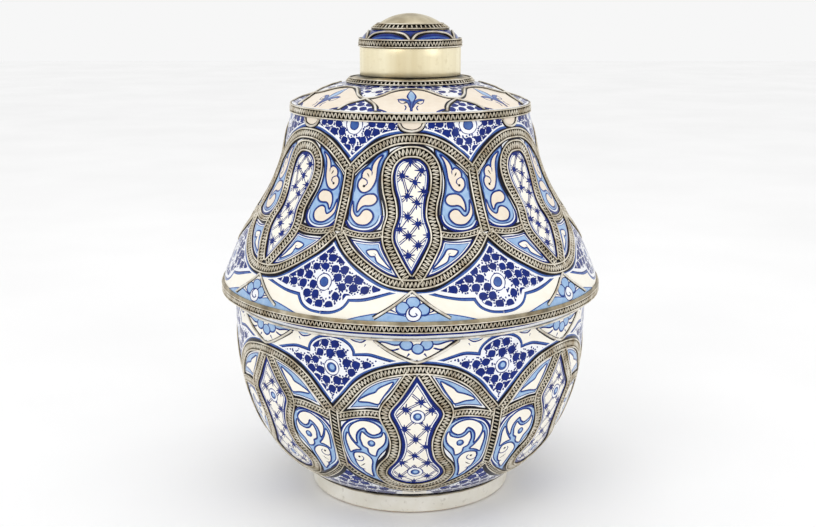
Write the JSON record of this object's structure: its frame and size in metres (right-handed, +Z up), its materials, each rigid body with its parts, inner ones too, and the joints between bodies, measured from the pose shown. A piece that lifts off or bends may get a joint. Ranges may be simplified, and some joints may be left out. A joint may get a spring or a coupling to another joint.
{
  "type": "lidded ceramic jar",
  "caption": "Lidded earthenware jar, blue-painted white glaze, dressed with open-work white-metal strips, plain foot band and a capped knob; the lid lifts off.",
  "frame": {"origin": "centre of the foot's underside", "axes": "+Z up along the jar's axis; the -Y side has a motif facing it; +X to the right seen from -Y"},
  "size_m": [0.302, 0.302, 0.3796],
  "materials": {
    "painted_glaze": "glossy white tin glaze, hand-painted in two blues",
    "white_metal_filigree": "oxidised nickel silver, dark in the holes, rubbed bright on the ridges",
    "plain_white_metal": "satin nickel silver sheet, hand-worked",
    "polished_white_metal": "polished nickel silver sheet with a pale gold cast"
  },
  "bodies": {
    "bowl": {"bowl_shell": "painted_glaze", "foot_band": "plain_white_metal", "base_ring": "white_metal_filigree", "bowl_rim_wire": "white_metal_filigree", "bowl_uprights": "white_metal_filigree", "bowl_side_strips": "white_metal_filigree", "bowl_rim_darts": "white_metal_filigree", "bowl_medallion_1": "white_metal_filigree", "bowl_medallion_2": "white_metal_filigree", "bowl_medallion_3": "white_metal_filigree", "bowl_medallion_4": "white_metal_filigree", "bowl_medallion_5": "white_metal_filigree", "bowl_medallion_6": "white_metal_filigree", "bowl_medallion_7": "white_metal_filigree", "bowl_keyhole_1": "white_metal_filigree", "bowl_keyhole_2": "white_metal_filigree", "bowl_keyhole_3": "white_metal_filigree", "bowl_keyhole_4": "white_metal_filigree", "bowl_keyhole_5": "white_metal_filigree", "bowl_keyhole_6": "white_metal_filigree", "bowl_keyhole_7": "white_metal_filigree"},
    "lid": {"lid_shell": "painted_glaze", "rim_band": "white_metal_filigree", "lid_uprights": "white_metal_filigree", "lid_side_strips": "white_metal_filigree", "lid_rim_darts": "white_metal_filigree", "lid_tab_wires": "white_metal_filigree", "shoulder_band": "white_metal_filigree", "shoulder_edge_wire": "white_metal_filigree", "shoulder_darts": "white_metal_filigree", "neck_flange": "white_metal_filigree", "knob_band": "polished_white_metal", "knob_lower_ring": "white_metal_filigree", "knob_arc_wires": "white_metal_filigree", "knob_upper_ring": "white_metal_filigree", "knob_cap": "plain_white_metal", "lid_medallion_1": "white_metal_filigree", "lid_medallion_2": "white_metal_filigree", "lid_medallion_3": "white_metal_filigree", "lid_medallion_4": "white_metal_filigree", "lid_medallion_5": "white_metal_filigree", "lid_medallion_6": "white_metal_filigree", "lid_medallion_7": "white_metal_filigree", "lid_keyhole_1": "white_metal_filigree", "lid_keyhole_2": "white_metal_filigree", "lid_keyhole_3": "white_metal_filigree", "lid_keyhole_4": "white_metal_filigree", "lid_keyhole_5": "white_metal_filigree", "lid_keyhole_6": "white_metal_filigree", "lid_keyhole_7": "white_metal_filigree"}
  },
  "joints": [
    {"name": "lid_lift", "type": "slide", "parent": "bowl", "child": "lid", "axis": [0, 0, 1], "range_m": [0, 0.2]}
  ]
}
